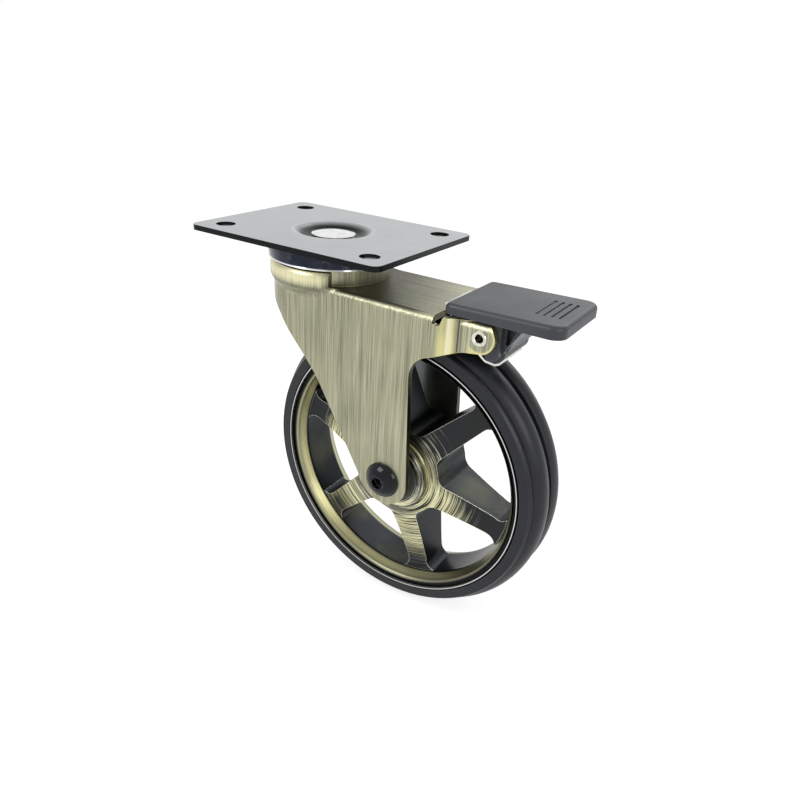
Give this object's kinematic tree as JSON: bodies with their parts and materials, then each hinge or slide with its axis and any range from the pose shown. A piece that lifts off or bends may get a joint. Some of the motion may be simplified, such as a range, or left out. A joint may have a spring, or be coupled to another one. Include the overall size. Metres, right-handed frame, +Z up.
{
  "type": "braked swivel castor",
  "caption": "Plate-mounted swivel castor: pressed fork in antique brass finish, spoked wheel with a ribbed tyre, and a foot pedal that presses a brake leaf on the tyre.",
  "frame": {"origin": "centre of the bolt pattern on the plate's top face, on the swivel axis", "axes": "+Z up along the swivel axis, +X along the trail towards the brake pedal, Y along the wheel's axle"},
  "size_m": [0.1781, 0.08, 0.1811],
  "materials": {
    "plate_steel": "bright zinc, faintly brushed",
    "kingpin_steel": "polished",
    "cover_chrome": "dark chrome",
    "ball_steel": "polished",
    "race_steel": "hardened",
    "fork_finish": "brushed antique brass plating",
    "wheel_finish": "brushed antique brass plating",
    "tyre_rubber": "satin",
    "bearing_steel": "ground",
    "cap_plastic": "moulded",
    "cage_plastic": "moulded",
    "bolt_black": "gloss black",
    "pedal_plastic": "moulded, fine grain",
    "rivet_steel": "bright",
    "leaf_steel": "bright spring steel"
  },
  "bodies": {
    "plate": {"top_plate": "plate_steel", "kingpin": "kingpin_steel", "race_cover": "cover_chrome", "lower_race": "race_steel"},
    "upper_ball_ring": {"upper_balls": "ball_steel"},
    "lower_ball_ring": {"lower_balls": "ball_steel"},
    "fork": {"fork": "fork_finish", "axle_bolt": "bolt_black", "axle_nut": "bolt_black", "nut_washer": "bolt_black", "axle_sleeve": "bearing_steel", "pedal_rivet": "rivet_steel"},
    "wheel": {"wheel_casting": "wheel_finish", "tyre": "tyre_rubber", "bearing_shell": "bearing_steel", "bearing_cap_near": "cap_plastic", "bearing_cap_far": "cap_plastic"},
    "roller_ring": {"bearing_rollers": "bearing_steel", "roller_cage": "cage_plastic"},
    "pedal": {"brake_pedal": "pedal_plastic"},
    "leaf": {"brake_leaf": "leaf_steel"}
  },
  "joints": [
    {"name": "swivel", "type": "hinge", "parent": "plate", "child": "fork", "pos_m": [0, 0, 0], "axis": [0, 0, 1], "continuous": true},
    {"name": "upper_balls_turn", "type": "hinge", "parent": "plate", "child": "upper_ball_ring", "pos_m": [0, 0, 0], "axis": [0, 0, 1], "continuous": true},
    {"name": "lower_balls_turn", "type": "hinge", "parent": "plate", "child": "lower_ball_ring", "pos_m": [0, 0, 0], "axis": [0, 0, 1], "continuous": true},
    {"name": "wheel_roll", "type": "hinge", "parent": "fork", "child": "wheel", "pos_m": [0.0505, 0, -0.106], "axis": [0, 1, 0], "continuous": true},
    {"name": "rollers_turn", "type": "hinge", "parent": "fork", "child": "roller_ring", "pos_m": [0.0505, 0, -0.106], "axis": [0, 1, 0], "continuous": true},
    {"name": "pedal_press", "type": "hinge", "parent": "fork", "child": "pedal", "pos_m": [0.0906, 0, -0.0254], "axis": [0, 1, 0], "range_deg": [0, 22]},
    {"name": "leaf_bend", "type": "hinge", "parent": "fork", "child": "leaf", "pos_m": [0.0708, 0, -0.0228], "axis": [0, 1, 0], "range_deg": [0, 5.5]}
  ],
  "couplings": [
    {"joint": "upper_balls_turn", "follows": "swivel", "ratio": 0.5},
    {"joint": "lower_balls_turn", "follows": "swivel", "ratio": 0.5},
    {"joint": "rollers_turn", "follows": "wheel_roll", "ratio": 0.6244},
    {"joint": "leaf_bend", "follows": "pedal_press", "ratio": 0.25}
  ]
}
